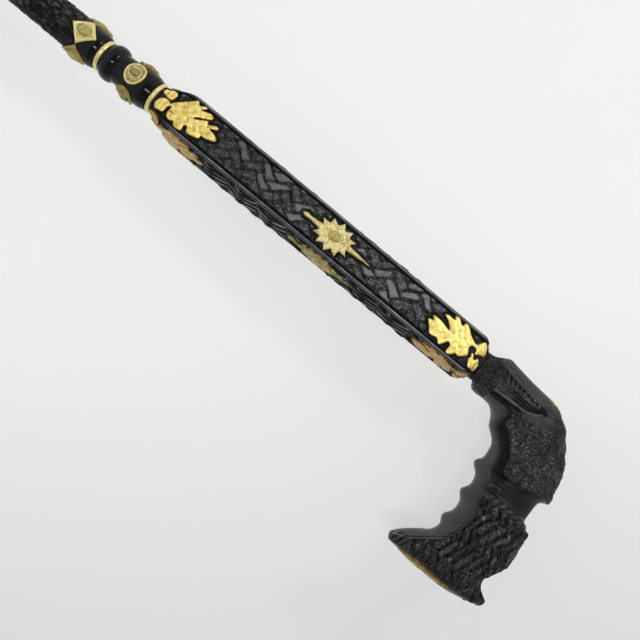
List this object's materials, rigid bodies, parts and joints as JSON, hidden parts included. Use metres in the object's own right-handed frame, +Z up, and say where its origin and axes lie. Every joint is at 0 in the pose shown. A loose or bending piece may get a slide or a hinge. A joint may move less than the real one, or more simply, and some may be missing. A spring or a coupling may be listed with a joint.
{
  "type": "walking stick",
  "caption": "Carved black walking stick with a square woven-carved upper shaft, gilt leaf and star mounts, green stones and a finger-grooved crook handle.",
  "frame": {"origin": "centre of the flat foot of the tip, where the stick stands on the ground", "axes": "+Z up along the shaft to the handle, +X towards the end of the handle, +Y to the back of the stick"},
  "size_m": [0.1299, 0.0328, 0.9143],
  "materials": {
    "handle_ebony": "black stained wood, carved and waxed to a soft sheen",
    "carved_ebony": "black wood carved with a diagonal basket weave, waxed",
    "bark_ebony": "black wood cut with a fine bark texture, waxed",
    "polished_ebony": "black wood, turned and polished to a high gloss",
    "leaf_gilt": "bright yellow leaf gilding, slightly crumpled",
    "pale_gold": "pale gilt metal with a granulated surface",
    "green_stone": "polished olive green cabochon",
    "brass": "worn brass",
    "steel": "worn steel"
  },
  "bodies": {
    "root": {"tip": "steel", "ferrule": "brass", "ferrule_pin": "brass", "lower_shaft": "bark_ebony", "lower_ring": "pale_gold", "knop": "polished_ebony", "knop_rod": "steel", "upper_ring": "pale_gold", "upper_shaft": "carved_ebony", "handle": "handle_ebony", "handle_screw": "steel", "handle_end_plate": "pale_gold", "handle_collet": "pale_gold", "handle_stone": "green_stone", "hilt_leaf_front": "leaf_gilt", "hilt_acorns_front": "leaf_gilt", "knop_leaf_front": "leaf_gilt", "knop_acorns_front": "leaf_gilt", "star_front": "pale_gold", "star_stone_front": "green_stone", "rosette_front": "pale_gold", "rosette_stone_front": "green_stone", "lozenge_front": "pale_gold", "lozenge_stone_front": "green_stone", "hilt_leaf_right": "leaf_gilt", "hilt_acorns_right": "leaf_gilt", "knop_leaf_right": "leaf_gilt", "knop_acorns_right": "leaf_gilt", "star_right": "pale_gold", "star_stone_right": "green_stone", "rosette_right": "pale_gold", "rosette_stone_right": "green_stone", "lozenge_right": "pale_gold", "lozenge_stone_right": "green_stone", "hilt_leaf_back": "leaf_gilt", "hilt_acorns_back": "leaf_gilt", "knop_leaf_back": "leaf_gilt", "knop_acorns_back": "leaf_gilt", "star_back": "pale_gold", "star_stone_back": "green_stone", "rosette_back": "pale_gold", "rosette_stone_back": "green_stone", "lozenge_back": "pale_gold", "lozenge_stone_back": "green_stone", "hilt_leaf_left": "leaf_gilt", "hilt_acorns_left": "leaf_gilt", "knop_leaf_left": "leaf_gilt", "knop_acorns_left": "leaf_gilt", "star_left": "pale_gold", "star_stone_left": "green_stone", "rosette_left": "pale_gold", "rosette_stone_left": "green_stone", "lozenge_left": "pale_gold", "lozenge_stone_left": "green_stone"}
  },
  "joints": []
}
